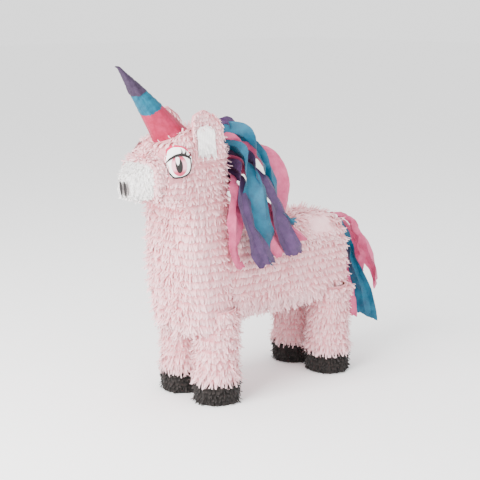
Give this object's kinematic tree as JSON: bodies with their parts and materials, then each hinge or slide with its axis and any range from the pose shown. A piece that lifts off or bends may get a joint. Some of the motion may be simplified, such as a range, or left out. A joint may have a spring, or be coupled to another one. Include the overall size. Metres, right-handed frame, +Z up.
{
  "type": "unicorn pinata",
  "caption": "Standing unicorn party pinata: a hollow cardboard body under pale tissue fringe, with a paper horn, flat ears, streamer mane and tail, and a filling flap.",
  "frame": {"origin": "middle of the bounding box on the ground plane, between the four hooves", "axes": "+Z up, the animal faces -Y, its left side is +X"},
  "size_m": [0.18, 0.5804, 0.555],
  "materials": {
    "cardboard": "plain brown cardboard, seen only inside and at cut edges",
    "pink_tissue": "pale pink tissue paper cut into a fringe and curled",
    "white_tissue": "white tissue paper, fringed on the muzzle",
    "black_tissue": "crumpled black tissue paper",
    "pink_paper": "smooth crepe paper wrapped on the horn",
    "turquoise_paper": "smooth crepe paper wrapped on the horn",
    "purple_paper": "smooth crepe paper wrapped on the horn",
    "printed_sticker": "satin printed paper",
    "black_sticker": "satin printed paper",
    "pink_crepe": "crumpled crepe paper streamer",
    "turquoise_crepe": "crumpled crepe paper streamer",
    "purple_crepe": "crumpled crepe paper streamer"
  },
  "bodies": {
    "pinata": {"torso_tube": "cardboard", "rump_cap": "cardboard", "neck_tube": "cardboard", "head_shell": "cardboard", "muzzle_box": "cardboard", "hanger_plate": "cardboard", "leg_tube_front_left": "cardboard", "sole_front_left": "cardboard", "hoof_wrap_front_left": "black_tissue", "leg_fringe_front_left": "pink_tissue", "leg_tube_front_right": "cardboard", "sole_front_right": "cardboard", "hoof_wrap_front_right": "black_tissue", "leg_fringe_front_right": "pink_tissue", "leg_tube_rear_left": "cardboard", "sole_rear_left": "cardboard", "hoof_wrap_rear_left": "black_tissue", "leg_fringe_rear_left": "pink_tissue", "leg_tube_rear_right": "cardboard", "sole_rear_right": "cardboard", "hoof_wrap_rear_right": "black_tissue", "leg_fringe_rear_right": "pink_tissue", "horn_cone": "cardboard", "horn_wrap_pink": "pink_paper", "horn_wrap_turquoise": "turquoise_paper", "horn_wrap_purple": "purple_paper", "ear_card_left": "cardboard", "ear_fringe_left": "pink_tissue", "ear_patch_left": "white_tissue", "ear_card_right": "cardboard", "ear_fringe_right": "pink_tissue", "ear_patch_right": "white_tissue", "torso_fringe": "pink_tissue", "neck_fringe": "pink_tissue", "head_fringe": "pink_tissue", "muzzle_fringe": "white_tissue", "eye_sticker_left": "printed_sticker", "nostril_sticker_left": "black_sticker", "eye_sticker_right": "printed_sticker", "nostril_sticker_right": "black_sticker", "mane_strip": "pink_crepe", "tail_strip": "white_tissue", "mane_purple_top": "purple_crepe", "mane_turquoise_outer": "turquoise_crepe", "mane_pink_loop": "pink_crepe", "mane_turquoise_front": "turquoise_crepe", "mane_purple_back": "purple_crepe", "mane_pink_middle": "pink_crepe", "mane_purple_front": "purple_crepe", "mane_pink_front": "pink_crepe", "mane_pink_curl": "pink_crepe"},
    "flap": {"fill_flap": "cardboard", "flap_cover": "pink_tissue"},
    "tail": {"tail_pink_long": "pink_crepe", "tail_pink_wide": "pink_crepe", "tail_turquoise": "turquoise_crepe", "tail_purple": "purple_crepe", "tail_pink_inner": "pink_crepe"}
  },
  "joints": [
    {"name": "flap_hinge", "type": "hinge", "parent": "pinata", "child": "flap", "pos_m": [0.01664, 0.08889, 0.2838], "axis": [0, -1, 0], "range_deg": [0, 95]},
    {"name": "tail_lift", "type": "hinge", "parent": "pinata", "child": "tail", "pos_m": [-0.00736, 0.17109, 0.2705], "axis": [1, 0, 0], "range_deg": [0, 60]}
  ]
}
